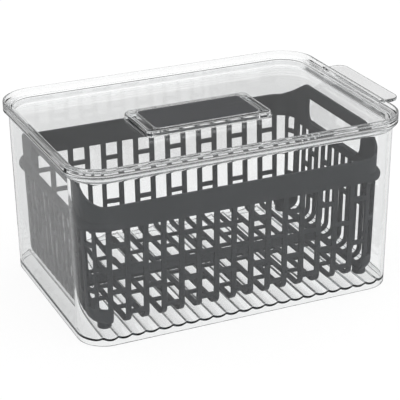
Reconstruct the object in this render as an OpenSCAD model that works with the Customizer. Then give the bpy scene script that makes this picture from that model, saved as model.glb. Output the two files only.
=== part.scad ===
// Clear refrigerator bin with a lift-off lid and a lift-out draining basket.
// Millimetres. Origin on the table under the middle of the overall length, X along the long side, Z up.

/* [Bin] */
// Outside length of the bin wall under the rim
bin_len = 294.8; // [240:0.2:360]
// Outside width of the bin wall under the rim
bin_wid = 202.6; // [170:0.2:260]
// Height from the table to the top of the bin's rim
bin_h = 153.7; // [130:0.1:200]
// Outside corner radius of the bin wall at the rim
corner_r = 27.4; // [24:0.2:36]
// Wall thickness of the bin
wall_t = 2; // [1.4:0.1:3]
// How far each wall leans in from the rim to the base
wall_draft = 2.5; // [0:0.1:4]
// Height of the flared rim
rim_h = 6.7; // [4:0.1:9]
// How far the flared rim stands out from the wall
rim_out = 4.6; // [3:0.1:6]
// Height of the foot ring under the floor
foot_h = 4; // [2:0.5:8]
// Width of the foot ring
foot_w = 3; // [3:0.5:9]
// Thickness of the floor under the flutes
floor_t = 2; // [1.4:0.1:4]
// Spacing of the floor ridges
ridge_pitch = 12.3; // [9:0.1:18]
// Height of the floor ridges
ridge_h = 1.8; // [0.8:0.1:2.6]
// Flat strip along the top of a floor ridge
ridge_crest = 0.8; // [0.6:0.1:3]

/* [Lid] */
// Height of the lid's upright rim above its seat
lid_rim_h = 7; // [6:0.1:14]
// Radius at the foot of the upright rim
rim_fillet = 3; // [1:0.1:4]
// Thickness of the lid
lid_t = 1.8; // [1.2:0.1:2.6]
// Free space between the lid or basket and what carries it
seat_gap = 0.3; // [0.2:0.05:1]
// Free space around the lid's plug in the bin's mouth
plug_gap = 0.5; // [0.3:0.1:1.2]
// Depth of the dish from the rim's top to the panel
dish_depth = 12; // [8:0.5:20]
// Radius at the foot of the dish wall
dish_fillet = 1.5; // [0.5:0.1:3]
// Length of the raised boss
boss_len = 119; // [112:1:150]
// Width of the raised boss
boss_wid = 57; // [54:1:80]
// Height of the raised boss over the panel
boss_h = 6; // [5:0.5:10]
// Corner radius of the raised boss
boss_r = 6; // [4:0.5:12]
// Radius on the top edge of the raised boss
boss_edge = 3; // [1:0.1:3.8]
// How far the lift tab stands out from the lid
tab_out = 21; // [12:0.5:30]
// Width of the lift tab
tab_wid = 104; // [50:1:130]
// Thickness of the lift tab
tab_t = 3.2; // [2:0.1:5]
// Corner radius of the lift tab
tab_r = 10; // [4:0.5:11]

/* [Lid plate] */
// Length of the dark plate in the boss
plate_len = 98; // [70:1:102]
// Width of the dark plate in the boss
plate_wid = 46; // [34:1:46]
// Corner radius of the dark plate
plate_r = 4; // [3:0.5:8]
// Thickness of the dark plate
plate_t = 2; // [1.2:0.1:4]
// Wall thickness of the collar that grips the plate
collar_t = 1.2; // [0.8:0.1:1.6]
// Free space around the plate in its collar
plate_gap = 0.1; // [0.05:0.05:0.3]

/* [Basket] */
// Free space between the basket's end wall and the bin at the rim
end_gap = 8.4; // [7.5:0.1:12]
// Free space between the basket's long wall and the bin at the rim
side_gap = 7.5; // [4:0.1:12]
// Free space between the end lip and the bin wall
lip_gap = 4; // [1.5:0.1:5]
// Outside corner radius of the basket at its top
basket_r = 22; // [18:0.5:26]
// Wall thickness of the basket
basket_t = 2.4; // [1.6:0.1:3]
// How far each basket wall leans in from top to bottom
basket_draft = 3; // [0:0.1:4]
// Radius between the basket's walls and its floor
bend_r = 10; // [6:0.5:12]
// Height of the four corner feet
basket_foot_h = 4; // [2:0.5:8]
// Radius of the four corner feet
basket_foot_r = 6; // [4:0.5:7]
// Free space between the handles and the lid's panel
handle_gap = 7; // [3:0.5:14]
// How far the long walls drop below the handles
wall_drop = 18.5; // [10:0.5:24]
// Height of the solid band along the long walls
band_h = 21; // [12:0.5:28]
// Height of the handle bar
bar_h = 11.5; // [8:0.5:16]
// Height of the finger opening under the handle bar
grip_h = 23.5; // [18:0.5:28]
// Width of the finger opening
grip_wid = 98; // [70:1:108]
// Radius of the lower corners of the finger opening
grip_r = 12; // [4:0.5:16]
// Width of the handle's straight top
handle_wid = 110; // [100:1:118]
// Height of the lip across the end walls
lip_h = 9; // [8:0.5:16]

/* [Slats] */
// Spacing of the slats
slat_pitch = 16; // [12:0.5:24]
// Spacing of the slats in the end walls
end_pitch = 12.4; // [10:0.1:20]
// Width of a slat
slat_w = 4.6; // [3:0.1:7]
// Spacing of the cross bars along a column
cross_pitch = 42; // [30:1:60]
// Height of a cross bar
cross_h = 4; // [2:0.5:7]
// Width of the solid spine along the middle of the floor
spine_w = 18; // [8:1:30]

/* [Hidden] */
$fn = 96;
// How far a cutter runs past what it cuts
past = 5;

// Corner centres shared by every ring of the bin and the lid
bin_cx = bin_len / 2 - corner_r;
bin_cy = bin_wid / 2 - corner_r;
rim_z = bin_h - rim_h;
floor_z = foot_h + floor_t;
ridge_top = floor_z + ridge_h;
// Radius of the round nose of the bin's rim
edge_r = 1.2;
// Overlap of a ridge and the wall that it runs into
ridge_sink = 0.5;
// How far the bottom of a flute stays over the floor slab that its ridges stand on
flute_lift = 0.1;
// Distance from the bin's middle to the middle of the overall length
mid_x = tab_out / 2;

// Lid levels and offsets from the corner centres
seat_z = bin_h + seat_gap;
shelf_z = seat_z + lid_t;
lid_top = seat_z + lid_rim_h;
lid_u = corner_r + rim_out;
dish_u = corner_r - wall_t - plug_gap - lid_t;
panel_z = lid_top - dish_depth;
panel_low = panel_z - lid_t;
boss_top = panel_z + boss_h;

// Plate levels
plate_top = boss_top - lid_t - plate_gap;

// How far the lip's top edge rises over the lower edge of the finger opening
lip_rise = 1.7;
// How far the lip stands out from the end wall, and how deep its round nose is
lip_out = 0.6;
nose = 4;
// How far the columns of windows may reach past the basket's corner centres
column_reach = 3;
// Where the end windows stop on the floor, past the corner centres
end_stop = 8;
// Height over the bend at which the corner windows start
corner_rise = 6;
// How deep the wall windows are cut
win_depth = 9;
// Level strip inside the long wall where the handle's slope ends
slope_run = 1;

// Basket levels, all hung from the lid's panel or the ridges
basket_low = ridge_top + seat_gap;
basket_floor = basket_low + basket_foot_h;
handle_top = panel_low - handle_gap;
wall_top = handle_top - wall_drop;
band_low = wall_top - band_h;
grip_top = handle_top - bar_h;
grip_low = grip_top - grip_h;
lip_z = grip_low - lip_h / 2 + lip_rise;
end_slat_top = lip_z - lip_h / 2;
basket_cx = bin_len / 2 - wall_t - end_gap - basket_r;
basket_cy = bin_wid / 2 - wall_t - side_gap - basket_r;
basket_h = handle_top - basket_floor;
basket_low_r = basket_r - basket_draft;
lip_lean = wall_draft * (rim_z - lip_z) / rim_z;
lip_half = bin_len / 2 - lip_lean - wall_t - lip_gap;
win_w = slat_pitch - slat_w;

// Wall offset of the basket at a height
function basket_u(z) = basket_low_r + basket_draft * (z - basket_floor) / basket_h;

// Puts the origin under the middle of the overall length
module placed() {
  translate([-mid_x, 0, 0]) children();
}

// Sweeps a profile (offset, height) around a rectangle of corner centres
module around(cx, cy) {
  for (k = [0:3]) {
    p = k % 2 == 0 ? cx : cy;
    q = k % 2 == 0 ? cy : cx;
    rotate([0, 0, 90 * k]) translate([p, q, 0]) {
      rotate_extrude(angle = 90) children();
      rotate([90, 0, 0]) linear_extrude(2 * q) children();
    }
  }
}

// Block between the corner centres, from one height to another
module core(cx, cy, z0, z1) {
  translate([-cx, -cy, z0]) cube([2 * cx, 2 * cy, z1 - z0]);
}

// Rounded rectangle plate
module slab(len, wid, r, z0, z1) {
  around(len / 2 - r, wid / 2 - r) translate([0, z0]) square([r, z1 - z0]);
  core(len / 2 - r, wid / 2 - r, z0, z1);
}

// Solid rim that flares from the wall out to a round nose under the lid's seat
module flare() {
  run = rim_out - edge_r;
  rise = rim_h - edge_r;
  slant = sqrt(run * run + rise * rise - edge_r * edge_r);
  lean = atan2(rise, run) - atan2(edge_r, slant);
  polygon([
    [corner_r - wall_t, rim_z],
    [corner_r, rim_z],
    [corner_r + slant * cos(lean), rim_z + slant * sin(lean)],
    [lid_u - edge_r, bin_h],
    [corner_r - wall_t, bin_h],
  ]);
  translate([lid_u - edge_r, bin_h - edge_r]) circle(edge_r);
}

module bin_profile() {
  low_u = corner_r - wall_draft;
  // wall
  polygon([
    [low_u, 0],
    [corner_r, rim_z],
    [corner_r, bin_h],
    [corner_r - wall_t, bin_h],
    [corner_r - wall_t, rim_z],
    [low_u - wall_t, 0],
  ]);
  flare();
  // foot ring
  translate([low_u - foot_w, 0]) square([foot_w - wall_t / 2, floor_z]);
  // floor out to the wall
  translate([0, foot_h]) square([low_u - wall_t / 2, floor_t]);
}

// One floor ridge between the middles of the two hollow flutes beside it
module ridge(len) {
  half = (ridge_pitch - ridge_crest) / 2;
  rise = ridge_h - flute_lift;
  arc_r = (half * half + rise * rise) / (2 * rise);
  rotate([90, 0, 0]) linear_extrude(len, center = true) difference() {
    translate([-ridge_pitch / 2, -floor_t / 2]) square([ridge_pitch, floor_t / 2 + ridge_h]);
    for (s = [-1, 1]) translate([s * ridge_pitch / 2, flute_lift + arc_r]) circle(arc_r);
  }
}

module bin() color([0.9, 0.93, 0.95, 0.35]) placed() {
  around(bin_cx, bin_cy) bin_profile();
  core(bin_cx, bin_cy, foot_h, floor_z);
  in_r = corner_r - wall_draft - wall_t;
  reach = bin_cx + in_r - ridge_pitch / 2;
  count = floor(reach / ridge_pitch - 0.5);
  for (i = [-count - 1:count]) {
    x = (i + 0.5) * ridge_pitch;
    over = max(0, abs(x) + ridge_pitch / 2 - bin_cx);
    half = bin_cy + sqrt(max(0, in_r * in_r - over * over));
    translate([x, 0, floor_z]) ridge(2 * (half + (over > 0 ? -ridge_sink : ridge_sink)));
  }
}

module lid_profile() {
  // upright rim with a round top edge
  translate([lid_u - lid_t, seat_z]) square([lid_t, lid_rim_h - lid_t / 2]);
  translate([lid_u - lid_t / 2, lid_top - lid_t / 2]) circle(lid_t / 2);
  // shelf that lies on the bin's rim
  translate([dish_u, seat_z]) square([lid_u - dish_u, lid_t]);
  hollow_foot(lid_u - lid_t, shelf_z, rim_fillet);
  // dish wall
  translate([dish_u, panel_low]) square([lid_t, shelf_z - panel_low]);
  hollow_foot(dish_u, panel_z, dish_fillet);
  // edge of the panel
  translate([0, panel_low]) square([dish_u + lid_t / 2, lid_t]);
}

// Fillet between a wall whose near face is at u and the level that it stands on
module hollow_foot(u, z, r) {
  difference() {
    translate([u - r, z - lid_t / 2]) square(r + lid_t / 2);
    translate([u - r, z + r]) circle(r);
  }
}

module boss_profile() {
  translate([0, panel_low]) square([boss_r, boss_top - boss_edge - panel_low]);
  translate([0, panel_low]) square([boss_r - boss_edge, boss_top - panel_low]);
  translate([boss_r - boss_edge, boss_top - boss_edge]) intersection() {
    circle(boss_edge);
    square(boss_edge);
  }
}

module tab() {
  x0 = bin_len / 2 + rim_out - lid_t / 2;
  x1 = bin_len / 2 + rim_out + tab_out;
  translate([0, 0, seat_z]) linear_extrude(tab_t) {
    translate([x0, -tab_wid / 2]) square([x1 - tab_r - x0, tab_wid]);
    translate([x0, -tab_wid / 2 + tab_r]) square([x1 - x0, tab_wid - 2 * tab_r]);
    for (s = [-1, 1]) translate([x1 - tab_r, s * (tab_wid / 2 - tab_r)]) circle(tab_r);
  }
}

module lid() color([0.92, 0.95, 0.97, 0.35]) placed() {
  hole_l = plate_len + 2 * plate_gap;
  hole_w = plate_wid + 2 * plate_gap;
  hole_r = plate_r + plate_gap;
  difference() {
    union() {
      around(bin_cx, bin_cy) lid_profile();
      core(bin_cx, bin_cy, panel_low, panel_z);
      around(boss_len / 2 - boss_r, boss_wid / 2 - boss_r) boss_profile();
      core(boss_len / 2 - boss_r, boss_wid / 2 - boss_r, panel_low, boss_top);
    }
    difference() {
      slab(boss_len - 2 * lid_t, boss_wid - 2 * lid_t, boss_r - lid_t, panel_low - past, boss_top - lid_t);
      slab(hole_l + 2 * collar_t, hole_w + 2 * collar_t, hole_r + collar_t, panel_low - 2 * past, boss_top);
    }
    slab(hole_l, hole_w, hole_r, panel_low - past, boss_top - lid_t);
  }
  tab();
}

module lid_plate() color([0.22, 0.23, 0.25]) placed()
  slab(plate_len, plate_wid, plate_r, plate_top - plate_t, plate_top);

// Filled section of the basket, grown by a skin, from the bend to a height
module basket_profile(skin, z_top) {
  low_z = basket_floor - skin;
  r = bend_r + skin;
  u0 = basket_u(basket_floor + bend_r) + skin;
  u1 = basket_u(z_top) + skin;
  translate([0, low_z]) square([u0 - r, r]);
  translate([u0 - r, low_z + r]) intersection() {
    circle(r);
    translate([0, -r]) square([r, r]);
  }
  polygon([[0, low_z + r], [u0, low_z + r], [u1, z_top], [0, z_top]]);
}

module basket_block(skin, z_top) {
  around(basket_cx, basket_cy) basket_profile(skin, z_top);
  core(basket_cx, basket_cy, basket_floor - skin, z_top);
}

// Lip that swells out of the end walls and dies away along the long walls
module basket_lip() {
  u = basket_u(lip_z) + lip_out;
  cx = lip_half - u;
  r = lip_h / 2;
  around(cx, basket_cy) {
    translate([0, lip_z - r]) square([u - nose, lip_h]);
    translate([u - r, lip_z]) intersection() {
      circle(r);
      translate([r - nose, -r]) square([nose, lip_h]);
    }
  }
  core(cx, basket_cy, lip_z - r, lip_z + r);
}

// Distances of the cross bars down a column, between two limits
function bars(first, low, high) = [for (s = first; s < high; s = s + cross_pitch) if (s > low) s];

// Windows of one column: width along X, wall facing -Y, wrapped on to the floor
module column(first, top_z, half, floor_stop, wid) {
  wall_len = top_z - basket_floor;
  out = basket_draft + past;
  on_wall = bars(first, cross_h, wall_len - bend_r);
  on_floor = bars(first, wall_len + bend_r, wall_len + half - floor_stop - cross_h);
  n = len(on_wall);
  m = len(on_floor);
  for (i = [0:1:n - 1]) {
    z1 = top_z - (i == 0 ? 0 : on_wall[i - 1] + cross_h / 2);
    z0 = top_z - on_wall[i] + cross_h / 2;
    translate([-wid / 2, -half - out, z0]) cube([wid, out + win_depth, z1 - z0]);
  }
  // the last opening turns the bend and runs along the floor
  z_end = top_z - (n == 0 ? 0 : on_wall[n - 1] + cross_h / 2);
  depth = m == 0 ? half - floor_stop : on_floor[0] - wall_len - cross_h / 2;
  translate([-wid / 2, -half - out, basket_floor - past])
    cube([wid, out + depth, z_end - basket_floor + past]);
  for (j = [0:1:m - 1]) {
    y0 = on_floor[j] - wall_len + cross_h / 2 - half;
    y1 = j + 1 < m ? on_floor[j + 1] - wall_len - cross_h / 2 - half : -floor_stop;
    translate([-wid / 2, y0, basket_floor - past]) cube([wid, y1 - y0, basket_t + 2 * past]);
  }
}

module long_windows() {
  n = floor((basket_cx + column_reach - win_w / 2) / slat_pitch);
  half = basket_cy + basket_low_r;
  for (i = [-n:n], s = [0, 1]) {
    first = i % 2 == 0 ? cross_pitch * 0.844 : cross_pitch * 0.344;
    rotate([0, 0, 180 * s]) translate([i * slat_pitch, 0, 0])
      column(first, band_low, half, spine_w / 2, win_w);
  }
}

module end_windows() {
  wid = end_pitch - slat_w;
  n = floor((basket_cy - wid / 2) / end_pitch);
  half = basket_cx + basket_low_r;
  for (i = [-n:n], s = [-1, 1]) {
    first = i % 2 == 0 ? cross_pitch * 0.808 : cross_pitch * 0.468;
    rotate([0, 0, 90 * s]) translate([i * end_pitch, 0, 0])
      column(first, end_slat_top, half, basket_cx + end_stop, wid);
  }
}

module corner_windows() {
  wall_len = band_low - basket_floor - bend_r - corner_rise;
  for (sx = [-1, 1], sy = [-1, 1], k = [0, 1]) {
    on_wall = bars(cross_pitch * (k == 0 ? 0.344 : 0.844), cross_h, wall_len);
    n = len(on_wall);
    translate([sx * basket_cx, sy * basket_cy, 0]) scale_mirror(sx, sy) rotate([0, 0, k == 0 ? 24 : 57])
      for (i = [0:n]) {
        z1 = band_low - (i == 0 ? 0 : on_wall[i - 1] + cross_h / 2);
        z0 = band_low - (i == n ? wall_len : on_wall[i] - cross_h / 2);
        translate([basket_low_r - past, -win_w * 0.36, z0]) cube([2 * past, win_w * 0.72, z1 - z0]);
      }
  }
}

// Mirrors what follows into the quarter given by the two signs
module scale_mirror(sx, sy) {
  mirror([sx < 0 ? 1 : 0, 0, 0]) mirror([0, sy < 0 ? 1 : 0, 0]) children();
}

// Finger opening through both end walls
module grip_hole() {
  len = 2 * (basket_cx + basket_r + lip_h);
  rotate([90, 0, 90]) linear_extrude(len, center = true) {
    translate([-grip_wid / 2, grip_low + grip_r]) square([grip_wid, grip_h - grip_r]);
    translate([-grip_wid / 2 + grip_r, grip_low]) square([grip_wid - 2 * grip_r, grip_h]);
    for (s = [-1, 1]) translate([s * (grip_wid / 2 - grip_r), grip_low + grip_r]) circle(grip_r);
  }
}

// What is cut away above the long walls, falling from the handle ends
module top_slopes() {
  len = 2 * (basket_cx + basket_r + lip_h);
  y1 = basket_cy + basket_r - basket_t - slope_run;
  y2 = basket_cy + basket_r + past;
  for (s = [0, 1]) rotate([0, 0, 180 * s]) rotate([90, 0, 90]) linear_extrude(len, center = true)
    polygon([
      [handle_wid / 2, handle_top],
      [y1, wall_top],
      [y2, wall_top],
      [y2, handle_top + past],
      [handle_wid / 2, handle_top + past],
    ]);
}

module basket() color([0.33, 0.34, 0.36]) placed() {
  difference() {
    union() {
      basket_block(0, handle_top);
      basket_lip();
    }
    basket_block(-basket_t, handle_top + past);
    long_windows();
    end_windows();
    corner_windows();
    grip_hole();
    top_slopes();
  }
  d = (basket_low_r - bend_r) * 0.7;
  for (sx = [-1, 1], sy = [-1, 1])
    translate([sx * (basket_cx + d), sy * (basket_cy + d), basket_low])
      cylinder(r = basket_foot_r, h = basket_foot_h + basket_t / 2);
}

bin();
lid();
lid_plate();
basket();
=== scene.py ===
"""Looks of a clear refrigerator bin with a lift-off lid and a lift-out draining basket.

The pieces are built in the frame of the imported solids. Their sizes are in millimetres round the
middle of the bin, and u is a distance out from the corners' centres. The stage is in metres.
"""
import math

import bmesh
import bpy
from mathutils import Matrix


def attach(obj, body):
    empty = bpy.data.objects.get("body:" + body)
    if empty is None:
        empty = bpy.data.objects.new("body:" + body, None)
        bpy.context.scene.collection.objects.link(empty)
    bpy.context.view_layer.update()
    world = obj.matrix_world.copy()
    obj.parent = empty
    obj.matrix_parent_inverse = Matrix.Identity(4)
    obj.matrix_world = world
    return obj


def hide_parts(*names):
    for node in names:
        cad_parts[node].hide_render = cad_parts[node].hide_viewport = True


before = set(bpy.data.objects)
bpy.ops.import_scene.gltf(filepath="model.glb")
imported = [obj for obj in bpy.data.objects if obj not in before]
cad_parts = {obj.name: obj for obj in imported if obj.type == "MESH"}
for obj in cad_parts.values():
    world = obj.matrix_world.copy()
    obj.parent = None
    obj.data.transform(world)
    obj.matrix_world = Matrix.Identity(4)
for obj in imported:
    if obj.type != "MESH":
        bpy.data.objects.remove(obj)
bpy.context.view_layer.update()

MM = 0.001
# Distance from the origin to the middle of the bin, along X
MIDDLE = -10.5
# Points closer than this are one point, in metres
MERGE = 1e-6

# Bin
BIN_CX, BIN_CY = 120.0, 73.9
CORNER_R = 27.4
WALL = 2.0
DRAFT = 2.5
BIN_TOP = 153.7
RIM_Z = 147.0
RIM_U = 32.0
RIM_NOSE, RIM_INSIDE = 1.2, 0.8
FOOT_H, FOOT_W = 4.0, 3.0
FOOT_OUTSIDE, FOOT_INSIDE = 1.0, 0.6
FLOOR_Z, FLOOR_FILLET = 6.0, 1.0
RIDGE_PITCH, RIDGE_CREST, RIDGE_H = 12.3, 0.8, 1.8
# Ridges on each side of the middle
RIDGES = 11
# Columns of points on each side of a ridge, from its middle
RIDGE_COLUMNS = (RIDGE_CREST / 2 + 0.02, 1.0, 2.0, 3.2, 4.6)
# Rows of the wall's section that follow the flutes: wholly at its start, faded in at its end
FLUTED_ROWS, FADED_ROWS = 7, 4
# Rows of points across the floor, as shares of the corners' centres
FLOOR_ROWS = [-0.985] + [-0.9 + 0.1 * k for k in range(19)] + [0.985]

# Lid
SEAT_Z, LID_TOP = 154.0, 161.0
LID_T = 1.8
SHELF_Z, SHELF_EDGE, RIM_FILLET = 155.8, 0.8, 3.0
RIM_EDGE, RIM_EDGE_MID = 0.5, 0.15
DISH_U, DISH_R, PLUG_R, SEAT_R = 23.1, 1.5, 1.0, 0.3
PANEL_Z = 149.0
BOSS_CX, BOSS_CY, BOSS_R, BOSS_EDGE, BOSS_TOP = 53.5, 22.5, 6.0, 3.0, 155.0
BOSS_FOOT, POCKET_MOUTH, POCKET_R = 1.0, 0.4, 0.8
COLLAR_CX, COLLAR_CY, COLLAR_R, COLLAR_T = 45.0, 19.0, 4.1, 1.2
COLLAR_FOOT, COLLAR_EDGE, COLLAR_CORNER = 0.5, 0.4, 0.3
TAB_OUT, TAB_HALF, TAB_R, TAB_T = 21.0, 52.0, 10.0, 3.2
TAB_EDGE, TAB_EDGE_MID = 0.8, 0.23
# Points of the rim next to the tab's root: over it and beside it
TAB_OVER, TAB_BESIDE = 1.0, 0.6
# Points along the lid's long sides and its left end
LID_ALONG, LID_ACROSS = 40, 24

# Plate under the boss
PLATE_CX, PLATE_CY, PLATE_R = 45.0, 19.0, 4.0
PLATE_TOP, PLATE_T = 153.1, 2.0
PLATE_EDGE, PLATE_UNDER = 0.7, 0.4

# Basket
BASKET_CX, BASKET_CY = 115.0, 69.8
BASKET_LOW_R, BASKET_DRAFT, BASKET_T = 19.0, 3.0, 2.4
BASKET_FLOOR, HANDLE_TOP, WALL_TOP = 12.1, 140.2, 121.7
BEND_R = 10.0
BEND_END = BASKET_FLOOR + BEND_R
# Angles of the bend's rows, the last of them at the lower edge of a cross bar
BEND_TURNS = (0, 15, 30, 45, 60, 75, 85.1)
SOFT_EDGE = 0.45
# Windows: pitch, width, and columns on each side of the middle
SLAT_PITCH, WINDOW, COLUMNS = 16.0, 11.4, 7
END_PITCH, END_WINDOW, END_COLUMNS = 12.4, 7.8, 5
BAND_LOW, END_LOW = 100.7, 97.9
SPINE = 9.0
# Cross bars: the first one's depth under the band in odd and even columns, as a share of the pitch
CROSS_PITCH, CROSS_H = 42.0, 4.0
LONG_BARS, END_BARS = (0.344, 0.844), (0.468, 0.808)
# Windows round a corner: their middles and half width in degrees, and their lower end
CORNER_WINDOWS, CORNER_HALF, CORNER_LOW = (24.0, 57.0), 12.1, BEND_END + 6.0
# Angles at which an end gives way to a corner and a corner to a long wall
END_TO, LONG_FROM = 0.5, 82.4
# Angles of a corner's points, besides those at the edges of its windows
CORNER_TURNS = (0, 20, 28, 53, 61, 75.5, LONG_FROM, 90)
GRIP_HALF, GRIP_R, GRIP_LOW, GRIP_TOP = 49.0, 12.0, 105.2, 128.7
HANDLE_HALF, SLOPE_END = 55.0, 88.4
LIP_Z, LIP_HALF_H, LIP_SIDE, LIP_END = 102.4, 4.5, 0.6, 3.92
# Rows that round the lip, from its middle, and how far the upper two stay under an opening
LIP_ROWS, LIP_UPPER_ROWS, LIP_CLEAR = (-3.9, -2.9, 0.0, 1.4), (3.4, LIP_HALF_H), (0.8, 0.4)
# Rows of the long walls that run on into the edges of the finger openings
BAND_ROWS = (112.0, 117.4)
# Feet: bottom, radius, rounded edge, points round them, and how far out they stand along X and Y,
# as a share of the radius at the floor's corners
FEET_Z, FEET_R, FEET_EDGE, FEET_TURNS, FEET_OUT = 8.1, 6.0, 0.7, 32, 0.7

# Stage
FLOOR_HALF = 6.0
# Floor: tone that shows, tone that lights, white that shows, and the share of it in reflections
FLOOR_TONE, FLOOR_BOUNCE = (0.12, 0.12, 0.12, 1), (0.8, 0.8, 0.8, 1)
FLOOR_WHITE, FLOOR_MIRRORED = 0.89, 0.15
# World: each strength, and the range of its direction's measure over which it comes in
TOP_LIGHT, TOP_RANGE = 1.4, (0.3, 0.85)
SIDE_LIGHT, SIDE_RANGE, SIDE_TURN = (0.18, 0.9), (-0.3, 0.7), (0.75, 0.65)
HORIZON_LIGHT, HORIZON_RANGE = 0.85, (0.16, 0.34)
CAMERA_PLACE = (-0.51599, -1.13756, 0.61097)
CAMERA_TURN = (66.5141, 0.5052, -24.2219)
CAMERA_SENSOR, CAMERA_LENS = 36.0, 137.03


# Meshes

def in_frame(point):
    """A point in metres in the shared frame."""
    x, y, z = point
    return (x + MIDDLE) * MM, y * MM, z * MM


def mesh_piece(name, points, faces):
    """A mesh object from points round the bin's middle."""
    mesh = bpy.data.meshes.new(name)
    mesh.from_pydata([in_frame(point) for point in points], [], faces)
    piece = bpy.data.objects.new(name, mesh)
    bpy.context.scene.collection.objects.link(piece)
    return piece


def tidy_mesh(piece):
    """Merges doubled points, drops faces without area and shades the rest smooth."""
    work = bmesh.new()
    work.from_mesh(piece.data)
    bmesh.ops.remove_doubles(work, verts=work.verts, dist=MERGE)
    bmesh.ops.dissolve_degenerate(work, edges=work.edges, dist=MERGE / 10)
    for face in work.faces:
        face.smooth = True
    work.to_mesh(piece.data)
    work.free()


def plain_mesh(piece):
    """Turns a piece with modifiers into a plain mesh."""
    view = bpy.context.evaluated_depsgraph_get()
    made = bpy.data.meshes.new_from_object(
        piece.evaluated_get(view), preserve_all_data_layers=True, depsgraph=view)
    old = piece.data
    piece.modifiers.clear()
    piece.data = made
    made.name = piece.name
    bpy.data.meshes.remove(old)


def even_normals(piece):
    """Lets the large faces set the normals, so that flat walls stay flat up to their edges."""
    weighted = piece.modifiers.new("even normals", "WEIGHTED_NORMAL")
    weighted.mode = "FACE_AREA"
    weighted.weight = 100
    weighted.keep_sharp = False
    plain_mesh(piece)


def arc(cu, cz, r, start, end, steps):
    """Points (u, height) on an arc, angles in degrees."""
    angles = [math.radians(start + (end - start) * k / steps) for k in range(steps + 1)]
    return [(cu + r * math.cos(a), cz + r * math.sin(a)) for a in angles]


def spread(low, high, count):
    """Evenly spaced values strictly between two limits."""
    return [low + (high - low) * (k + 1) / (count + 1) for k in range(count)]


def quarter(steps):
    """Evenly spaced angles over a quarter turn, in degrees."""
    return [90 * k / steps for k in range(steps + 1)]


def ring_stations(straight, corner, left, right):
    """Stations (fx, fy, nx, ny) round a rounded rectangle, counter-clockwise from the front left.

    A station lies at the shares fx and fy of the corners' centres, and looks out along nx and ny.
    """
    turn = [(math.cos(math.radians(a)), math.sin(math.radians(a))) for a in corner]
    front = [(-1, -1, -c, -s) for c, s in turn] + [(f, -1, 0, -1) for f in straight]
    front += [(1, -1, c, -s) for c, s in reversed(turn)]
    back = [(fx, 1, nx, -ny) for fx, _, nx, ny in reversed(front)]
    right_end = [(1, f, 1, 0) for f in right]
    left_end = [(-1, f, -1, 0) for f in reversed(left)]
    return front + right_end + back + left_end


def place(station, cx, cy, u):
    """A station's x and y for the given corners' centres and u."""
    fx, fy, nx, ny = station
    return fx * cx + nx * u, fy * cy + ny * u


def strip_faces(first, second, count):
    """Quads between two loops of points that start at the given numbers."""
    faces = []
    for k in range(count):
        n = (k + 1) % count
        faces.append((first + k, second + k, second + n, first + n))
    return faces


def stack_faces(levels, count):
    """Quads between each loop of a stack and the next."""
    strips = (strip_faces(n * count, (n + 1) * count, count) for n in range(levels - 1))
    return [face for strip in strips for face in strip]


def cap_faces(levels, count):
    """A face over the first loop of a stack and one under its last."""
    last = (levels - 1) * count
    return [tuple(range(count)), tuple(range(last + count - 1, last - 1, -1))]


def grid_patch(loop_start, across, rows, spot, points, upward):
    """Fills a loop of ring stations with a grid of new points, and gives the faces.

    The loop has the given number of stations across its front, and one for each row at its ends.
    """
    down = len(rows)
    total = 2 * (across + down)

    def number(column, row):
        if row == 0:
            return loop_start + column
        if row == down + 1:
            return loop_start + across + down + (across - 1 - column)
        if column == 0:
            return loop_start + total - row
        if column == across - 1:
            return loop_start + across + row - 1
        return inner[column, row]

    inner = {}
    for column in range(1, across - 1):
        for row in range(1, down + 1):
            inner[column, row] = len(points)
            points.append(spot(column, rows[row - 1]))
    faces = []
    for column in range(across - 1):
        for row in range(down + 1):
            face = (number(column, row), number(column + 1, row),
                    number(column + 1, row + 1), number(column, row + 1))
            faces.append(face if upward else face[::-1])
    return faces


# Nodes

def node(tree, kind, **settings):
    """A new node with its settings."""
    made = tree.nodes.new(kind)
    for name, value in settings.items():
        setattr(made, name, value)
    return made


def wire(tree, value, socket):
    """Links a socket, or sets a plain value."""
    if isinstance(value, bpy.types.NodeSocket):
        tree.links.new(value, socket)
    else:
        socket.default_value = value


def calc(tree, operation, *values):
    """A Math node's result."""
    made = node(tree, "ShaderNodeMath", operation=operation)
    for value, socket in zip(values, made.inputs):
        wire(tree, value, socket)
    return made.outputs[0]


def geometry_tree(name, inputs):
    """A geometry node tree with a geometry input, named inputs and a geometry output."""
    tree = bpy.data.node_groups.new(name, "GeometryNodeTree")
    sockets = [("Geometry", "INPUT", "NodeSocketGeometry")]
    sockets += [(label, "INPUT", kind) for label, kind in inputs]
    for label, side, kind in sockets + [("Geometry", "OUTPUT", "NodeSocketGeometry")]:
        tree.interface.new_socket(name=label, in_out=side, socket_type=kind)
    return tree, node(tree, "NodeGroupInput"), node(tree, "NodeGroupOutput")


def read_attribute(tree, name, kind="FLOAT"):
    """A named attribute's value."""
    made = node(tree, "GeometryNodeInputNamedAttribute", data_type=kind)
    made.inputs["Name"].default_value = name
    return next(s for s in made.outputs if s.enabled and s.name == "Attribute")


def close_tree(tree, source, material, out):
    """Ends a tree in Realize Instances and Set Material."""
    real = node(tree, "GeometryNodeRealizeInstances")
    paint = node(tree, "GeometryNodeSetMaterial")
    tree.links.new(source, real.inputs["Geometry"])
    tree.links.new(real.outputs["Geometry"], paint.inputs["Geometry"])
    tree.links.new(material, paint.inputs["Material"])
    tree.links.new(paint.outputs["Geometry"], out.inputs["Geometry"])


def run_tree(piece, tree, values):
    """Applies a tree to a piece with its inputs set by identifier, and leaves a plain mesh."""
    made = piece.modifiers.new(tree.name, "NODES")
    made.node_group = tree
    for item in tree.interface.items_tree:
        if item.item_type == "SOCKET" and item.in_out == "INPUT" and item.name in values:
            made[item.identifier] = values[item.name]
    plain_mesh(piece)


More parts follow.
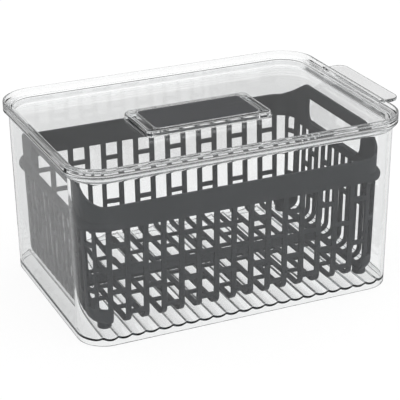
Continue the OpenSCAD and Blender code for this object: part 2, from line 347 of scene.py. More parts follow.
def add_attribute(piece, name, domain, values, kind="FLOAT", field="value"):
    """Stores values on a piece's points or faces."""
    piece.data.attributes.new(name, kind, domain).data.foreach_set(field, values)


def drop_attributes(piece, names):
    """Removes attributes that only a tree needed."""
    for name in names:
        found = piece.data.attributes.get(name)
        if found:
            piece.data.attributes.remove(found)


# Materials

def shader_group(name, inputs, outputs):
    """A shader node group with named inputs and outputs."""
    tree = bpy.data.node_groups.new(name, "ShaderNodeTree")
    for label, kind, value in inputs:
        made = tree.interface.new_socket(name=label, in_out="INPUT", socket_type=kind)
        made.default_value = value
    for label in outputs:
        tree.interface.new_socket(name=label, in_out="OUTPUT", socket_type="NodeSocketFloat")
    return tree, node(tree, "NodeGroupInput"), node(tree, "NodeGroupOutput")


def noise(tree, spot, scale, detail, rough):
    """A noise texture's value."""
    made = node(tree, "ShaderNodeTexNoise")
    wire(tree, spot, made.inputs["Vector"])
    wire(tree, scale, made.inputs["Scale"])
    made.inputs["Detail"].default_value = detail
    made.inputs["Roughness"].default_value = rough
    return made.outputs["Fac"]


def ramp(tree, value, limits, low=0.0, high=1.0, kind="SMOOTHSTEP"):
    """A value's course from low to high between two limits."""
    made = node(tree, "ShaderNodeMapRange", interpolation_type=kind)
    wire(tree, value, made.inputs["Value"])
    made.inputs["From Min"].default_value, made.inputs["From Max"].default_value = limits
    made.inputs["To Min"].default_value = low
    made.inputs["To Max"].default_value = high
    return made.outputs["Result"]


def scaled(tree, value, low, high):
    """A share between 0 and 1, set between low and high."""
    return ramp(tree, value, (0.0, 1.0), low, high, "LINEAR")


def moulding_group():
    """Long soft flow marks, fine grain and sparse scuffs of a moulded surface."""
    tree, read, out = shader_group(
        "moulded surface",
        [("Place", "NodeSocketVector", (0, 0, 0)), ("Flow Scale", "NodeSocketFloat", 9.0),
         ("Grain Scale", "NodeSocketFloat", 900.0), ("Scuff Scale", "NodeSocketFloat", 60.0)],
        ["Flow", "Grain", "Scuff"])
    spot = read.outputs["Place"]
    flow = noise(tree, spot, read.outputs["Flow Scale"], detail=2.0, rough=0.4)
    grain = noise(tree, spot, read.outputs["Grain Scale"], detail=1.0, rough=0.5)
    stretch = node(tree, "ShaderNodeMapping")
    stretch.inputs["Rotation"].default_value = (0.3, 0.2, 0.6)
    stretch.inputs["Scale"].default_value = (0.12, 1.6, 1.0)
    tree.links.new(spot, stretch.inputs["Vector"])
    marks = noise(tree, stretch.outputs["Vector"], read.outputs["Scuff Scale"], detail=4.0, rough=0.62)
    tree.links.new(flow, out.inputs["Flow"])
    tree.links.new(grain, out.inputs["Grain"])
    tree.links.new(ramp(tree, marks, (0.56, 0.74)), out.inputs["Scuff"])
    return tree


def blend_colour(tree, share, first, second):
    """A Mix node's colour. Its sockets go by number, because several share a name."""
    made = node(tree, "ShaderNodeMix", data_type="RGBA")
    for number, value in ((0, share), (6, first), (7, second)):
        wire(tree, value, made.inputs[number])
    return made.outputs[2]


def new_material(name, surface, scales):
    """A material with a moulded surface on Object coordinates: its tree, shader and group."""
    material = bpy.data.materials.new(name)
    material.use_nodes = True
    tree = material.node_tree
    coords = node(tree, "ShaderNodeTexCoord")
    group = node(tree, "ShaderNodeGroup", node_tree=surface)
    tree.links.new(coords.outputs["Object"], group.inputs["Place"])
    for label, value in scales.items():
        group.inputs[label].default_value = value
    return material, tree, tree.nodes["Principled BSDF"], group


def bumped(tree, shader, height, strength, distance):
    """Gives a shader a bump."""
    bump = node(tree, "ShaderNodeBump")
    bump.inputs["Strength"].default_value = strength
    bump.inputs["Distance"].default_value = distance
    tree.links.new(height, bump.inputs["Height"])
    tree.links.new(bump.outputs["Normal"], shader.inputs["Normal"])


def clear_plastic(name, surface, tint, density):
    """Clear glossy moulding: faint flow, sparse scuffs, and a tint that deepens on the way through."""
    material, tree, shader, group = new_material(
        name, surface, {"Flow Scale": 14.0, "Grain Scale": 500.0, "Scuff Scale": 48.0})
    shader.inputs["Metallic"].default_value = 0.0
    shader.inputs["Transmission Weight"].default_value = 1.0
    shader.inputs["IOR"].default_value = 1.5
    flow = group.outputs["Flow"]
    tone = blend_colour(tree, flow, (0.985, 0.99, 0.99, 1), (1.0, 1.0, 1.0, 1))
    rough = scaled(tree, group.outputs["Scuff"], low=0.0, high=0.035)
    tree.links.new(tone, shader.inputs["Base Color"])
    tree.links.new(rough, shader.inputs["Roughness"])
    bumped(tree, shader, flow, strength=0.06, distance=0.002)
    depth = node(tree, "ShaderNodeVolumeAbsorption")
    depth.inputs["Color"].default_value = tint
    depth.inputs["Density"].default_value = density
    tree.links.new(depth.outputs["Volume"], tree.nodes["Material Output"].inputs["Volume"])
    return material


def satin_plastic(name, surface, dark, light, rough_low, rough_high, grain_scale):
    """Coloured satin moulding: fine grain, cloudy tone and pale scuffs."""
    material, tree, shader, group = new_material(
        name, surface, {"Flow Scale": 24.0, "Grain Scale": grain_scale, "Scuff Scale": 70.0})
    grain = group.outputs["Grain"]
    tone = blend_colour(tree, group.outputs["Flow"], dark, light)
    scuff = scaled(tree, group.outputs["Scuff"], low=0.0, high=0.10)
    scuffed = blend_colour(tree, scuff, tone, (0.30, 0.31, 0.32, 1))
    rough = scaled(tree, grain, rough_low, rough_high)
    tree.links.new(scuffed, shader.inputs["Base Color"])
    tree.links.new(rough, shader.inputs["Roughness"])
    bumped(tree, shader, grain, strength=0.12, distance=0.0004)
    shader.inputs["IOR"].default_value = 1.5
    shader.inputs["Specular IOR Level"].default_value = 0.08
    return material


SURFACE = moulding_group()
CLEAR_BIN = clear_plastic("clear bin moulding", SURFACE, tint=(0.6, 0.65, 0.67, 1), density=22.0)
CLEAR_LID = clear_plastic("clear lid moulding", SURFACE, tint=(0.62, 0.66, 0.67, 1), density=6.0)
BASKET_GREY = satin_plastic(
    "charcoal basket moulding", SURFACE, dark=(0.064, 0.069, 0.075, 1), light=(0.079, 0.084, 0.09, 1),
    rough_low=0.48, rough_high=0.6, grain_scale=1400.0)
PLATE_GREY = satin_plastic(
    "dark plate moulding", SURFACE, dark=(0.042, 0.045, 0.053, 1), light=(0.054, 0.057, 0.066, 1),
    rough_low=0.32, rough_high=0.44, grain_scale=1700.0)


# Bin

def flute_tree():
    """Hollows flutes side by side along X between narrow ridges, to a reach on each side."""
    tree, read, out = geometry_tree("floor flutes", [
        ("Pitch", "NodeSocketFloat"), ("Crest", "NodeSocketFloat"), ("Height", "NodeSocketFloat"),
        ("Middle", "NodeSocketFloat"), ("Reach", "NodeSocketFloat"),
        ("Material", "NodeSocketMaterial")])
    pitch, crest, height = (read.outputs[label] for label in ("Pitch", "Crest", "Height"))
    split = node(tree, "ShaderNodeSeparateXYZ")
    tree.links.new(node(tree, "GeometryNodeInputPosition").outputs[0], split.inputs[0])
    # Distance from the middle of the flute
    along = calc(tree, "SUBTRACT", split.outputs["X"], read.outputs["Middle"])
    cell = calc(tree, "FRACT", calc(tree, "DIVIDE", along, pitch))
    aside = calc(tree, "SUBTRACT", 0.5, calc(tree, "ABSOLUTE", calc(tree, "SUBTRACT", cell, 0.5)))
    off = calc(tree, "MULTIPLY", aside, pitch)
    # Radius of the arc that rises to the ridge's height at the edge of its crest
    half = calc(tree, "MULTIPLY", calc(tree, "SUBTRACT", pitch, crest), 0.5)
    squares = calc(tree, "ADD", calc(tree, "MULTIPLY", half, half),
                   calc(tree, "MULTIPLY", height, height))
    radius = calc(tree, "DIVIDE", squares, calc(tree, "MULTIPLY", height, 2.0))
    inside = calc(tree, "SUBTRACT", calc(tree, "MULTIPLY", radius, radius),
                  calc(tree, "MULTIPLY", off, off))
    rise = calc(tree, "SUBTRACT", radius, calc(tree, "SQRT", calc(tree, "MAXIMUM", inside, 0.0)))
    rise = calc(tree, "MINIMUM", rise, height)
    near = calc(tree, "LESS_THAN", calc(tree, "ABSOLUTE", along), read.outputs["Reach"])
    rise = calc(tree, "MULTIPLY", calc(tree, "MULTIPLY", rise, near),
                read_attribute(tree, "ridge_share"))
    lift = node(tree, "ShaderNodeCombineXYZ")
    tree.links.new(rise, lift.inputs["Z"])
    move = node(tree, "GeometryNodeSetPosition")
    tree.links.new(read.outputs["Geometry"], move.inputs["Geometry"])
    tree.links.new(lift.outputs[0], move.inputs["Offset"])
    close_tree(tree, move.outputs["Geometry"], read.outputs["Material"], out)
    return tree


def flare_turn():
    """Angle on the rim's nose at which its flared underside leaves, in degrees."""
    run, rise = RIM_U - CORNER_R - RIM_NOSE, BIN_TOP - RIM_Z - RIM_NOSE
    slant = math.sqrt(run * run + rise * rise - RIM_NOSE * RIM_NOSE)
    return math.degrees(math.atan2(rise, run) - math.atan2(RIM_NOSE, slant)) - 90


def bin_profile():
    """Section of the wall: from the floor's edge up the inside, over the rim, down to the foot.

    Next to each bend are rows that keep its shading off the flat wall.
    """
    low = CORNER_R - DRAFT
    inner_low = low - WALL + DRAFT * FLOOR_Z / RIM_Z
    inner_top = CORNER_R - WALL
    bend = FLOOR_Z + FLOOR_FILLET
    rows = arc(inner_low - FLOOR_FILLET, bend, FLOOR_FILLET, 270, 360, 5)
    rows += [(inner_low + 0.01, bend + 0.6), (inner_low + 0.1, bend + 5.0), (inner_top, RIM_Z)]
    rows += arc(inner_top + RIM_INSIDE, BIN_TOP - RIM_INSIDE, RIM_INSIDE, 180, 90, 4)
    rows += arc(RIM_U - RIM_NOSE, BIN_TOP - RIM_NOSE, RIM_NOSE, 90, flare_turn(), 8)
    rows += [(CORNER_R + 0.35, RIM_Z + 0.38), (CORNER_R, RIM_Z - 0.1)]
    rows += [(CORNER_R - 0.02, RIM_Z - 0.8), (CORNER_R - 0.04, RIM_Z - 2.0), (low + 0.06, 3.2)]
    rows += arc(low - FOOT_OUTSIDE, FOOT_OUTSIDE, FOOT_OUTSIDE, 0, -90, 5)
    rows += arc(low - FOOT_W + FOOT_INSIDE, FOOT_INSIDE, FOOT_INSIDE, 270, 180, 4)
    rows += arc(low - FOOT_W - FOOT_INSIDE, FOOT_H - FOOT_INSIDE, FOOT_INSIDE, 0, 90, 4)
    return rows


def make_bin():
    """The bin: one skin from the floor over the rim to the underside, with flutes in its floor."""
    profile = bin_profile()
    edge_u, last = profile[0][0], len(profile) - 1
    reach = RIDGES * RIDGE_PITCH
    crests = [(cell + 0.5) * RIDGE_PITCH for cell in range(-RIDGES, RIDGES)]
    xs = sorted([at + s * d for at in crests for d in RIDGE_COLUMNS for s in (-1, 1)]
                + [at - RIDGE_PITCH / 2 for at in crests] + [reach])
    # Columns in the rounded corners stand at the angles that continue those of the long sides
    clear = 0.2
    straight = [x / BIN_CX for x in xs if abs(x) < BIN_CX - clear]
    turned = [math.degrees(math.acos((x - BIN_CX) / edge_u)) for x in xs if x > BIN_CX + clear]
    corner = sorted(turned + [90.0] + [k * min(turned) / 10 for k in range(10)])
    stations = ring_stations(straight, corner, FLOOR_ROWS, FLOOR_ROWS)
    count = len(stations)
    points, share = [], []
    for n, (u, z) in enumerate(profile):
        points += [(*place(station, BIN_CX, BIN_CY, u), z) for station in stations]
        fluted = 1.0 if n < FLUTED_ROWS else max(0.0, 1 - (last - n) / FADED_ROWS)
        share += [fluted] * count
    faces = stack_faces(len(profile), count)
    across = 2 * len(corner) + len(straight)

    def on_level(u, z):
        def spot(column, row):
            x, y = place(stations[column], BIN_CX, BIN_CY, u)
            return x, -y * row, z
        return spot

    faces += grid_patch(0, across, FLOOR_ROWS, on_level(edge_u, FLOOR_Z), points, True)
    underside = on_level(profile[last][0], FOOT_H)
    faces += grid_patch(last * count, across, FLOOR_ROWS, underside, points, False)
    share += [1.0] * (len(points) - len(share))
    piece = mesh_piece("clear_bin", points, faces)
    add_attribute(piece, "ridge_share", "POINT", share)
    run_tree(piece, flute_tree(), {
        "Pitch": RIDGE_PITCH * MM, "Crest": RIDGE_CREST * MM, "Height": RIDGE_H * MM,
        "Middle": MIDDLE * MM, "Reach": reach * MM, "Material": CLEAR_BIN})
    drop_attributes(piece, ["ridge_share"])
    tidy_mesh(piece)
    even_normals(piece)
    return piece


# Lid

def tab_outline():
    """Points and outward directions along the lift tab's edge, from its front root to its back."""
    side = [(0.0, -TAB_HALF, 0.0, -1.0), ((TAB_OUT - TAB_R) / 2, -TAB_HALF, 0.0, -1.0)]
    for turn in quarter(8):
        a = math.radians(turn - 90)
        c, s = math.cos(a), math.sin(a)
        side.append((TAB_OUT - TAB_R + TAB_R * c, -TAB_HALF + TAB_R + TAB_R * s, c, s))
    tip = [(TAB_OUT, y, 1.0, 0.0) for y in spread(-TAB_HALF + TAB_R, TAB_HALF - TAB_R, 9)]
    return side + tip + [(x, -y, nx, -ny) for x, y, nx, ny in reversed(side)]


def lid_loops():
    """Loops (cx, cy, u, height, tab) from the boss's top, over the rim, to the pocket under it.

    Where a loop runs out round the tab, tab is its distance in from the tab's outline and its height.
    """
    outer, boss, collar = (BIN_CX, BIN_CY), (BOSS_CX, BOSS_CY), (COLLAR_CX, COLLAR_CY)
    low, ceiling = PANEL_Z - LID_T, BOSS_TOP - LID_T
    rim_in, edge = RIM_U - LID_T, LID_T / 2
    plug, collar_out = DISH_U + LID_T, COLLAR_R + COLLAR_T
    tab_top = SEAT_Z + TAB_T
    loops = []

    def add(centre, rows, tab=None):
        loops.extend((*centre, u, z, tab) for u, z in rows)

    add(boss, arc(BOSS_R - BOSS_EDGE, BOSS_TOP - BOSS_EDGE, BOSS_EDGE, 90, 0, 8))
    add(boss, arc(BOSS_R + BOSS_FOOT, PANEL_Z + BOSS_FOOT, BOSS_FOOT, 180, 270, 4))
    add(outer, arc(DISH_U - DISH_R, PANEL_Z + DISH_R, DISH_R, 270, 360, 6))
    add(outer, arc(DISH_U + SHELF_EDGE, SHELF_Z - SHELF_EDGE, SHELF_EDGE, 180, 90, 4))
    add(outer, arc(rim_in - RIM_FILLET, SHELF_Z + RIM_FILLET, RIM_FILLET, 270, 360, 8))
    add(outer, arc(RIM_U - edge, LID_TOP - edge, edge, 180, 0, 8))
    add(outer, [(RIM_U, tab_top + TAB_OVER), (RIM_U, tab_top)])
    add(outer, [(RIM_U, tab_top)], (TAB_EDGE, tab_top))
    add(outer, [(RIM_U, tab_top - TAB_EDGE / 2)], (TAB_EDGE_MID, tab_top - TAB_EDGE_MID))
    add(outer, [(RIM_U, tab_top - TAB_EDGE)], (0.0, tab_top - TAB_EDGE))
    add(outer, [(RIM_U, SEAT_Z + TAB_EDGE)], (0.0, SEAT_Z + TAB_EDGE))
    add(outer, [(RIM_U - RIM_EDGE_MID, SEAT_Z + RIM_EDGE_MID)], (TAB_EDGE_MID, SEAT_Z + TAB_EDGE_MID))
    add(outer, [(RIM_U - RIM_EDGE, SEAT_Z)], (TAB_EDGE, SEAT_Z))
    add(outer, arc(plug + SEAT_R, SEAT_Z - SEAT_R, SEAT_R, 90, 180, 2))
    add(outer, arc(plug - PLUG_R, low + PLUG_R, PLUG_R, 0, -90, 6))
    add(boss, arc(BOSS_R - LID_T + POCKET_MOUTH, low + POCKET_MOUTH, POCKET_MOUTH, 270, 180, 2))
    add(boss, arc(BOSS_R - LID_T - POCKET_R, ceiling - POCKET_R, POCKET_R, 0, 90, 3))
    add(collar, arc(collar_out + COLLAR_FOOT, ceiling - COLLAR_FOOT, COLLAR_FOOT, 90, 180, 2))
    add(collar, arc(collar_out - COLLAR_EDGE, low + COLLAR_EDGE, COLLAR_EDGE, 0, -90, 2))
    add(collar, arc(COLLAR_R + COLLAR_EDGE, low + COLLAR_EDGE, COLLAR_EDGE, 270, 180, 2))
    add(collar, arc(COLLAR_R - COLLAR_CORNER, ceiling - COLLAR_CORNER, COLLAR_CORNER, 0, 90, 2))
    return loops


def make_lid():
    """The lid: a stack of loops, of which some run out round the lift tab."""
    outline = tab_outline()
    roots = [-TAB_HALF + 2 * TAB_HALF * k / (len(outline) - 1) for k in range(len(outline))]
    root_end = -TAB_HALF - TAB_BESIDE
    beside = spread(-BIN_CY, root_end, 4) + [root_end]
    right = [y / BIN_CY for y in beside + roots + [-y for y in reversed(beside)]]
    corner = quarter(16)
    stations = ring_stations(spread(-1, 1, LID_ALONG), corner, spread(-1, 1, LID_ACROSS), right)
    count = len(stations)
    first_tab = 2 * len(corner) + LID_ALONG + len(beside)
    loops = lid_loops()
    points = []
    for cx, cy, u, z, tab in loops:
        for k, station in enumerate(stations):
            if tab and 0 <= k - first_tab < len(outline):
                ox, oy, nx, ny = outline[k - first_tab]
                inset, level = tab
                points.append((BIN_CX + RIM_U + ox - nx * inset, oy - ny * inset, level))
            else:
                points.append((*place(station, cx, cy, u), z))
    faces = stack_faces(len(loops), count) + cap_faces(len(loops), count)
    piece = mesh_piece("clear_lid", points, faces)
    tidy_mesh(piece)
    even_normals(piece)
    return piece


def make_plate():
    """The dark plate under the boss."""
    ends = spread(-1, 1, 10)
    stations = ring_stations(spread(-1, 1, 20), quarter(10), ends, ends)
    low = PLATE_TOP - PLATE_T
    rows = arc(PLATE_R - PLATE_EDGE, PLATE_TOP - PLATE_EDGE, PLATE_EDGE, 90, 0, 4)
    rows += arc(PLATE_R - PLATE_UNDER, low + PLATE_UNDER, PLATE_UNDER, 0, -90, 2)
    points = [(*place(s, PLATE_CX, PLATE_CY, u), z) for u, z in rows for s in stations]
    faces = stack_faces(len(rows), len(stations)) + cap_faces(len(rows), len(stations))
    piece = mesh_piece("dark_plate", points, faces)
    tidy_mesh(piece)
    even_normals(piece)
    return piece


# Basket

def slat_tree():
    """Opens windows between slats and cross bars in a sheet, and gives the sheet its thickness."""
    tree, read, out = geometry_tree("slatted sheet", [
        ("Bar Spacing", "NodeSocketFloat"), ("Bar Height", "NodeSocketFloat"),
        ("Material", "NodeSocketMaterial")])
    spacing = read.outputs["Bar Spacing"]
    across, run, first, stop, skip_low, skip_high = (read_attribute(tree, name) for name in FACTS)
    # Faces on the nearest cross bar
    turn = calc(tree, "ROUND", calc(tree, "DIVIDE", calc(tree, "SUBTRACT", run, first), spacing))
    steps = calc(tree, "MULTIPLY", calc(tree, "MAXIMUM", turn, 0.0), spacing)
    nearest = calc(tree, "ADD", first, steps)
    away = calc(tree, "ABSOLUTE", calc(tree, "SUBTRACT", run, nearest))
    on_bar = calc(tree, "LESS_THAN", away, calc(tree, "MULTIPLY", read.outputs["Bar Height"], 0.5))
    skipped = calc(tree, "MULTIPLY", calc(tree, "GREATER_THAN", nearest, skip_low),
                   calc(tree, "LESS_THAN", nearest, skip_high))
    bar = calc(tree, "MULTIPLY", on_bar, calc(tree, "SUBTRACT", 1.0, skipped))
    # Faces in a window, or in a finger opening
    window = calc(tree, "MULTIPLY", calc(tree, "LESS_THAN", across, 0.0),
                  calc(tree, "GREATER_THAN", run, 0.0))
    window = calc(tree, "MULTIPLY", window, calc(tree, "LESS_THAN", run, stop))
    window = calc(tree, "MULTIPLY", window, calc(tree, "SUBTRACT", 1.0, bar))
    opened = calc(tree, "MAXIMUM", window, read_attribute(tree, "opening"))
    cut = node(tree, "GeometryNodeDeleteGeometry", domain="FACE", mode="ALL")
    tree.links.new(read.outputs["Geometry"], cut.inputs["Geometry"])
    tree.links.new(calc(tree, "GREATER_THAN", opened, 0.5), cut.inputs["Selection"])
    sheet = cut.outputs["Geometry"]
    # The inner skin and the edges
    thick = node(tree, "GeometryNodeExtrudeMesh", mode="FACES")
    thick.inputs["Individual"].default_value = False
    thick.inputs["Offset Scale"].default_value = 0.0
    tree.links.new(sheet, thick.inputs["Mesh"])
    sink = node(tree, "GeometryNodeSetPosition")
    tree.links.new(thick.outputs["Mesh"], sink.inputs["Geometry"])
    tree.links.new(thick.outputs["Top"], sink.inputs["Selection"])
    tree.links.new(read_attribute(tree, "inner_place", "FLOAT_VECTOR"), sink.inputs["Position"])
    turned = node(tree, "GeometryNodeFlipFaces")
    tree.links.new(sink.outputs["Geometry"], turned.inputs["Mesh"])
    both = node(tree, "GeometryNodeJoinGeometry")
    tree.links.new(turned.outputs["Mesh"], both.inputs["Geometry"])
    tree.links.new(sheet, both.inputs["Geometry"])
    weld = node(tree, "GeometryNodeMergeByDistance")
    weld.inputs["Distance"].default_value = MERGE
    tree.links.new(both.outputs["Geometry"], weld.inputs["Geometry"])
    close_tree(tree, weld.outputs["Geometry"], read.outputs["Material"], out)
    return tree


def basket_u(z):
    """The basket's u at a height, from its draft."""
    return BASKET_LOW_R + BASKET_DRAFT * (z - BASKET_FLOOR) / (HANDLE_TOP - BASKET_FLOOR)


def top_height(y):
    """Height of the basket's upper edge: level over the handles, falling to the long walls."""
    share = min(1.0, max(0.0, (abs(y) - HANDLE_HALF) / (SLOPE_END - HANDLE_HALF)))
    return HANDLE_TOP + (WALL_TOP - HANDLE_TOP) * share


def grip_edge(y):
    """Height of the finger opening's lower edge, rounded up at its ends."""
    over = max(0.0, min(GRIP_R, abs(y) - (GRIP_HALF - GRIP_R)))
    return GRIP_LOW + GRIP_R - math.sqrt(GRIP_R * GRIP_R - over * over)


def wall_rows():
    """Heights of the rows from the bend to the lip: the windows' edges, and rows round the lip."""
    edges = []
    for top, shares in ((BAND_LOW, LONG_BARS), (END_LOW, END_BARS)):
        middles = [top - (share + k) * CROSS_PITCH for share in shares for k in range(2)]
        edges += [z + s * CROSS_H / 2 for z in middles if z > BEND_END for s in (-1, 1)]
    rows = [z for z in edges if z > BEND_END] + [LIP_Z + d for d in LIP_ROWS]
    return sorted(rows + [BEND_END, CORNER_LOW, END_LOW, BAND_LOW])


def upper_rows(station):
    """Heights of a station's rows from the lip up to the basket's edge, by way of the opening."""
    y = place(station, BASKET_CX, BASKET_CY, basket_u(WALL_TOP))[1]
    top = top_height(y)
    share = (top - WALL_TOP) / (HANDLE_TOP - WALL_TOP)
    band_low, band_high = BAND_ROWS
    low = grip_edge(y) if station[3] == 0 else GRIP_LOW + GRIP_R
    low = low if abs(y) <= GRIP_HALF else band_low + share * (GRIP_LOW + GRIP_R - band_low)
    high = band_high + share * (GRIP_TOP - band_high)
    lip = [min(LIP_Z + d, low - clear) for d, clear in zip(LIP_UPPER_ROWS, LIP_CLEAR)]
    return lip + [low, (low + high) / 2, high, top]


def sheet_point(station, u, z, skin):
    """A point on the basket's sheet, skin deep in it. The outside swells into the lip."""
    swell = 0.0
    if skin == 0 and abs(z - LIP_Z) < LIP_HALF_H:
        out = LIP_SIDE + LIP_END * abs(station[2])
        swell = out * math.sqrt(1 - ((z - LIP_Z) / LIP_HALF_H) ** 2)
    return (*place(station, BASKET_CX, BASKET_CY, u - skin + swell), z)


FACTS = ("across", "run", "first_bar", "run_end", "skip_low", "skip_high")


def face_facts(x, y, z, angle, region):
    """What the window rule needs to know of a face, in the order of FACTS.

    That is how far it lies outside its window, how far down the run from the band, where the run's
    first bar and its end are, and the stretch in which the bend has no bars.
    """
    if region == "corner":
        near, far = (abs(angle - middle) for middle in CORNER_WINDOWS)
        first = LONG_BARS[0 if near < far else 1] * CROSS_PITCH
        no_skip = 1e3, 2e3
        return min(near, far) - CORNER_HALF, BAND_LOW - z, first, BAND_LOW - CORNER_LOW, *no_skip
    if region == "end":
        at, most, pitch, width, top, bars = y, END_COLUMNS, END_PITCH, END_WINDOW, END_LOW, END_BARS
    else:
        at, most, pitch, width, top, bars = x, COLUMNS, SLAT_PITCH, WINDOW, BAND_LOW, LONG_BARS
    column = round(at / pitch)
    across = abs(at - column * pitch) - width / 2 if abs(column) <= most else 1.0
    first = bars[1 - column % 2] * CROSS_PITCH
    wall = top - BASKET_FLOOR
    half = BASKET_CY + BASKET_LOW_R
    run = wall + half - abs(y) if region == "floor" else top - z
    stop = wall + BEND_R if region == "end" else wall + half - SPINE
    return across, run, first, stop, wall - BEND_R, wall + BEND_R


def window_edges(pitch, width, most):
    """Places of the windows' two edges in all columns."""
    return {round(i * pitch + s * width / 2, 3) for i in range(-most, most + 1) for s in (-1, 1)}


def end_rows():
    """Places across the basket's ends and floor: edges of windows, finger openings and bars."""
    found = window_edges(END_PITCH, END_WINDOW, END_COLUMNS)
    wanted = [SPINE]
    for turn in range(0, 91, 9):
        wanted.append(GRIP_HALF - GRIP_R + GRIP_R * math.sin(math.radians(turn)))
    run = BAND_LOW - BASKET_FLOOR + BASKET_CY + BASKET_LOW_R
    for share in LONG_BARS:
        for k in (2, 3):
            bar = run - (share + k) * CROSS_PITCH
            wanted += [bar - CROSS_H / 2, bar + CROSS_H / 2]
    found |= {round(s * y, 3) for y in wanted for s in (-1, 1)}
    kept = []
    clear, apart = 0.9, 0.5
    for y in sorted(found):
        if abs(y) < BASKET_CY - clear and (not kept or y - kept[-1] > apart):
            kept.append(y)
    return [y / BASKET_CY for y in kept]


def make_basket():
    """The basket: a sheet with facts on its faces, from which the slat tree opens the windows."""
    edges = sorted(window_edges(SLAT_PITCH, WINDOW, COLUMNS))
    straight = [x / BASKET_CX for x in edges if abs(x) < BASKET_CX]
    turns = [a + s * CORNER_HALF for a in CORNER_WINDOWS for s in (-1, 1)]
    corner = sorted([*CORNER_TURNS, *turns])
    rows = end_rows()
    stations = ring_stations(straight, corner, rows, rows)
    count = len(stations)
    centre_u = basket_u(BEND_END) - BEND_R
    outer, inner = [], []
    for turn in BEND_TURNS:
        s, c = math.sin(math.radians(turn)), math.cos(math.radians(turn))
        for skin, r in ((outer, BEND_R), (inner, BEND_R - BASKET_T)):
            skin += [sheet_point(station, centre_u + r * s, BEND_END - r * c, 0)
                     for station in stations]
    levels = [[z] * count for z in wall_rows()]
    grip_row = len(BEND_TURNS) + len(levels) + 2
    levels += zip(*(upper_rows(station) for station in stations))
    for heights in levels:
        for station, z in zip(stations, heights):
            outer.append(sheet_point(station, basket_u(z), z, 0))
            inner.append(sheet_point(station, basket_u(z), z, BASKET_T))
    faces, facts, opening = [], [], []

    def middle(face):
        return [sum(outer[i][axis] for i in face) / len(face) for axis in range(3)]

    for n in range(len(BEND_TURNS) + len(levels) - 1):
        for k, face in enumerate(strip_faces(n * count, (n + 1) * count, count)):
            x, y, z = middle(face)
            a, b = stations[k], stations[(k + 1) % count]
            nx, ny = abs(a[2] + b[2]) / 2, abs(a[3] + b[3]) / 2
            angle = math.degrees(math.atan2(ny, nx))
            region = "end" if angle < END_TO else "long" if angle > LONG_FROM else "corner"
            faces.append(face[::-1])
            facts.append(face_facts(x, y, z, angle, region))
            opened = region == "end" and abs(y) < GRIP_HALF and grip_row <= n < grip_row + 2
            opening.append(1.0 if opened else 0.0)

    def on_floor(column, row):
        x = place(stations[column], BASKET_CX, BASKET_CY, centre_u)[0]
        inner.append((x, row * BASKET_CY, BASKET_FLOOR + BASKET_T))
        return x, row * BASKET_CY, BASKET_FLOOR

    across = 2 * len(corner) + len(straight)
    for face in grid_patch(0, across, rows, on_floor, outer, False):
        x, y, z = middle(face)
        faces.append(face)
        facts.append(face_facts(x, y, z, 90.0, "floor"))
        opening.append(0.0)
    piece = mesh_piece("slatted_basket", outer, faces)
    for name, values in zip(FACTS, zip(*facts)):
        add_attribute(piece, name, "FACE", values)
    add_attribute(piece, "opening", "FACE", opening)
    places = [c for point in inner for c in in_frame(point)]
    add_attribute(piece, "inner_place", "POINT", places, "FLOAT_VECTOR", "vector")
    run_tree(piece, slat_tree(), {
        "Bar Spacing": CROSS_PITCH, "Bar Height": CROSS_H, "Material": BASKET_GREY})
    drop_attributes(piece, [*FACTS, "opening", "inner_place"])
    tidy_mesh(piece)
    soft = piece.modifiers.new("soft edges", "BEVEL")
    soft.width = SOFT_EDGE * MM
    soft.segments = 2
    soft.limit_method = "ANGLE"
    soft.angle_limit = math.radians(40)
    soft.harden_normals = False
    plain_mesh(piece)
    even_normals(piece)
    return piece


def make_feet():
    """The four round feet under the basket's corners."""
    d = (BASKET_LOW_R - BEND_R) * FEET_OUT
    top = BASKET_FLOOR + BASKET_T / 2
    rows = [(0.0, FEET_Z)] + arc(FEET_R - FEET_EDGE, FEET_Z + FEET_EDGE, FEET_EDGE, 270, 360, 4)
    rows += [(FEET_R, top), (0.0, top)]
    turns = [2 * math.pi * k / FEET_TURNS for k in range(FEET_TURNS)]
    points, faces = [], []
    for sx in (-1, 1):
        for sy in (-1, 1):
            start = len(points)
            cx, cy = sx * (BASKET_CX + d), sy * (BASKET_CY + d)
            points += [(cx + r * math.cos(a), cy + r * math.sin(a), z) for r, z in rows for a in turns]
            for n in range(len(rows) - 1):
                lower, upper = start + n * FEET_TURNS, start + (n + 1) * FEET_TURNS
                faces += [face[::-1] for face in strip_faces(upper, lower, FEET_TURNS)]
    piece = mesh_piece("basket_feet", points, faces)
    tidy_mesh(piece)
    even_normals(piece)
    return piece


def carry(piece, material, body, slot, *nodes):
    """Paints a piece and hands it to its body."""
    piece.data.materials.clear()
    piece.data.materials.append(material)
    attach(piece, body)
    if nodes:
        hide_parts(*nodes)


carry(make_bin(), CLEAR_BIN, "bin", "clear_bin", "bin")
carry(make_lid(), CLEAR_LID, "lid", "clear_lid", "lid")
carry(make_plate(), PLATE_GREY, "lid", "dark_plate", "lid_plate")
carry(make_basket(), BASKET_GREY, "basket", "grey_basket", "basket")
carry(make_feet(), BASKET_GREY, "basket", "grey_basket")


# Stage

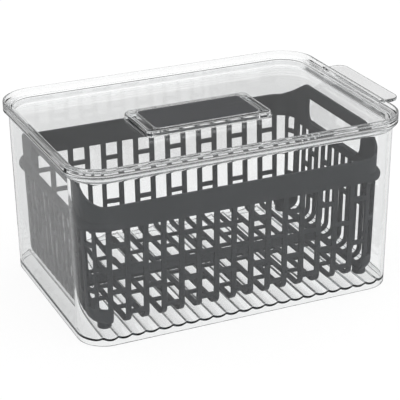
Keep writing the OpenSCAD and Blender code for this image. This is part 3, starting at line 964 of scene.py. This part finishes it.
def make_floor():
    """A pale floor that is white to the camera and through clear plastic, and dimmer in mirrors."""
    mesh = bpy.data.meshes.new("floor")
    signs = ((-1, -1), (1, -1), (1, 1), (-1, 1))
    mesh.from_pydata([(sx * FLOOR_HALF, sy * FLOOR_HALF, 0) for sx, sy in signs], [], [(0, 1, 2, 3)])
    floor = bpy.data.objects.new("floor", mesh)
    bpy.context.scene.collection.objects.link(floor)
    material = bpy.data.materials.new("pale floor")
    material.use_nodes = True
    tree = material.node_tree
    shader = tree.nodes["Principled BSDF"]
    shader.inputs["Roughness"].default_value = 0.9
    shader.inputs["Specular IOR Level"].default_value = 0.0
    path = node(tree, "ShaderNodeLightPath").outputs
    mirrored = calc(tree, "MULTIPLY", path["Is Glossy Ray"], FLOOR_MIRRORED)
    seen = calc(tree, "MAXIMUM", path["Is Camera Ray"],
                calc(tree, "MAXIMUM", mirrored, path["Is Transmission Ray"]))
    tone = blend_colour(tree, path["Is Diffuse Ray"], FLOOR_TONE, FLOOR_BOUNCE)
    tree.links.new(tone, shader.inputs["Base Color"])
    shader.inputs["Emission Color"].default_value = (1, 1, 1, 1)
    tree.links.new(calc(tree, "MULTIPLY", seen, FLOOR_WHITE), shader.inputs["Emission Strength"])
    mesh.materials.append(material)


def make_world():
    """Soft light from above that fades to the horizon, most of all behind and left of the bin.

    The camera sees plain white, and clear plastic a pale horizon.
    """
    world = bpy.data.worlds.new("studio")
    bpy.context.scene.world = world
    world.use_nodes = True
    tree = world.node_tree
    back = tree.nodes["Background"]
    back.inputs["Color"].default_value = (1, 1, 1, 1)
    split = node(tree, "ShaderNodeSeparateXYZ")
    tree.links.new(node(tree, "ShaderNodeTexCoord").outputs["Generated"], split.inputs[0])
    x, y, z = (split.outputs[axis] for axis in "XYZ")
    path = node(tree, "ShaderNodeLightPath").outputs
    camera = path["Is Camera Ray"]
    turn_x, turn_y = SIDE_TURN
    turn = calc(tree, "SUBTRACT", calc(tree, "MULTIPLY", x, turn_x), calc(tree, "MULTIPLY", y, turn_y))
    side = ramp(tree, turn, SIDE_RANGE, *SIDE_LIGHT)
    horizon = calc(tree, "MULTIPLY", path["Is Transmission Ray"],
                   ramp(tree, z, HORIZON_RANGE, HORIZON_LIGHT, 0.0))
    low = calc(tree, "MAXIMUM", side, horizon)
    gain = calc(tree, "MULTIPLY", ramp(tree, z, TOP_RANGE), calc(tree, "SUBTRACT", TOP_LIGHT, low))
    unseen = calc(tree, "MULTIPLY", calc(tree, "ADD", low, gain), calc(tree, "SUBTRACT", 1.0, camera))
    tree.links.new(calc(tree, "ADD", unseen, camera), back.inputs["Strength"])


def make_camera():
    """The camera at the photograph's viewing angle."""
    data = bpy.data.cameras.new("camera")
    data.sensor_width = CAMERA_SENSOR
    data.lens = CAMERA_LENS
    camera = bpy.data.objects.new("camera", data)
    bpy.context.scene.collection.objects.link(camera)
    camera.location = CAMERA_PLACE
    camera.rotation_euler = tuple(math.radians(a) for a in CAMERA_TURN)
    bpy.context.scene.camera = camera


make_floor()
make_world()
make_camera()
bpy.context.scene.view_settings.view_transform = "Standard"
# Clear walls behind clear walls need many bounces
bpy.context.scene.cycles.max_bounces = 24
bpy.context.scene.cycles.glossy_bounces = 16
bpy.context.scene.cycles.transmission_bounces = 24
